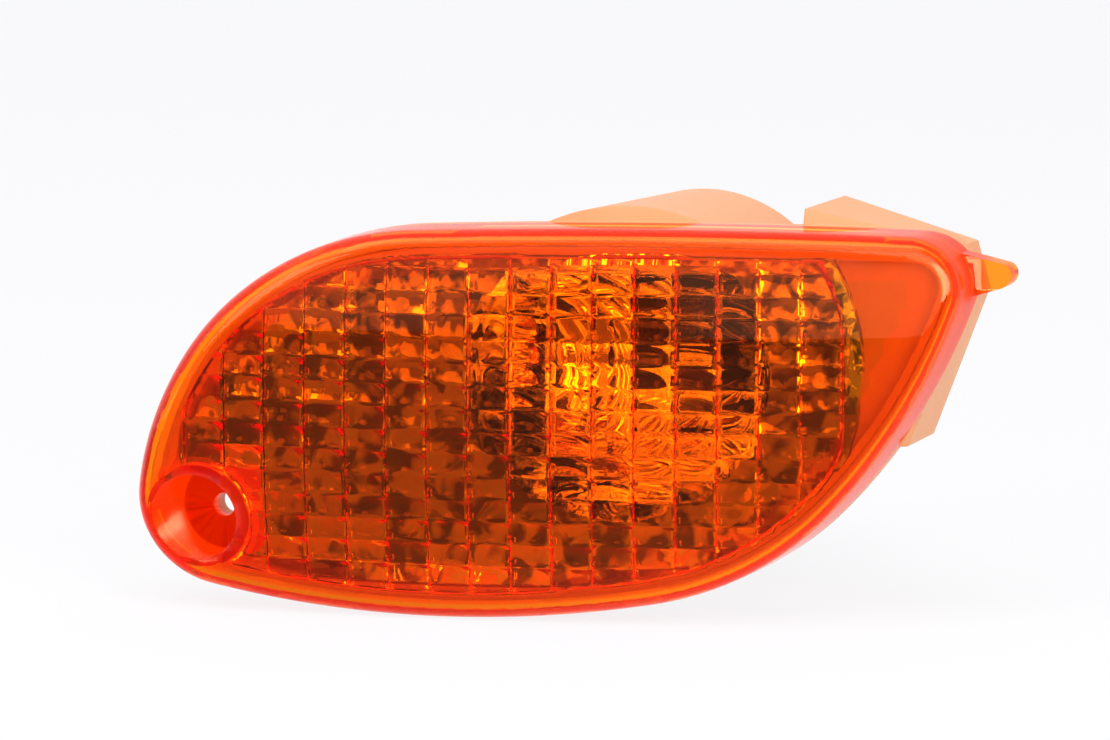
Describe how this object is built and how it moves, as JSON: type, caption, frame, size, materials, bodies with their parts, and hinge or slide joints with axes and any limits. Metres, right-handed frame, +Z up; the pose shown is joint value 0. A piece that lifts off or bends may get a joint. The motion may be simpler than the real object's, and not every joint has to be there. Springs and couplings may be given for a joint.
{
  "type": "vehicle indicator lamp",
  "caption": "Leaf-shaped amber front indicator lamp: block-optic lens with a screw well and tongue, drafted housing, reflector and a bayonet bulb in a twist-in holder.",
  "frame": {"origin": "axis of the fixing screw, on the back face of the ear that the screw clamps", "axes": "+X outboard along the lamp, +Y rearward into the bumper, +Z up; the lens faces -Y"},
  "size_m": [0.1725, 0.116, 0.0869],
  "materials": {
    "amber_acrylic": "clear amber moulded acrylic, polished",
    "seal_rubber": "matt black rubber",
    "lens_sealant": "pale silicone bead",
    "housing_plastic": "light salmon moulded plastic, satin",
    "metallising": "vacuum-metallised plastic",
    "holder_plastic": "glass-filled black plastic",
    "contact_brass": "stamped brass",
    "bulb_glass": "clear glass",
    "tungsten": "drawn wire",
    "cap_nickel": "nickel-plated brass",
    "cap_glass_black": "dark fused glass",
    "solder": "solder"
  },
  "bodies": {
    "lamp_body": {"lens": "amber_acrylic", "lens_seal": "lens_sealant", "housing": "housing_plastic", "reflector": "metallising", "breather_cap": "seal_rubber"},
    "bulb_carrier": {"bulb_holder": "holder_plastic", "holder_seal": "seal_rubber", "contact_live": "contact_brass", "contact_earth": "contact_brass", "bulb_glass": "bulb_glass", "bulb_stem": "bulb_glass", "filament": "tungsten", "lead_wires": "tungsten", "bulb_cap": "cap_nickel", "cap_insulator": "cap_glass_black", "centre_contact": "solder"}
  },
  "joints": [
    {"name": "holder_twist", "type": "hinge", "parent": "lamp_body", "child": "bulb_carrier", "pos_m": [0.08425, 0.059, 0.0322], "axis": [0, 1, 0], "range_deg": [0, 45]}
  ]
}
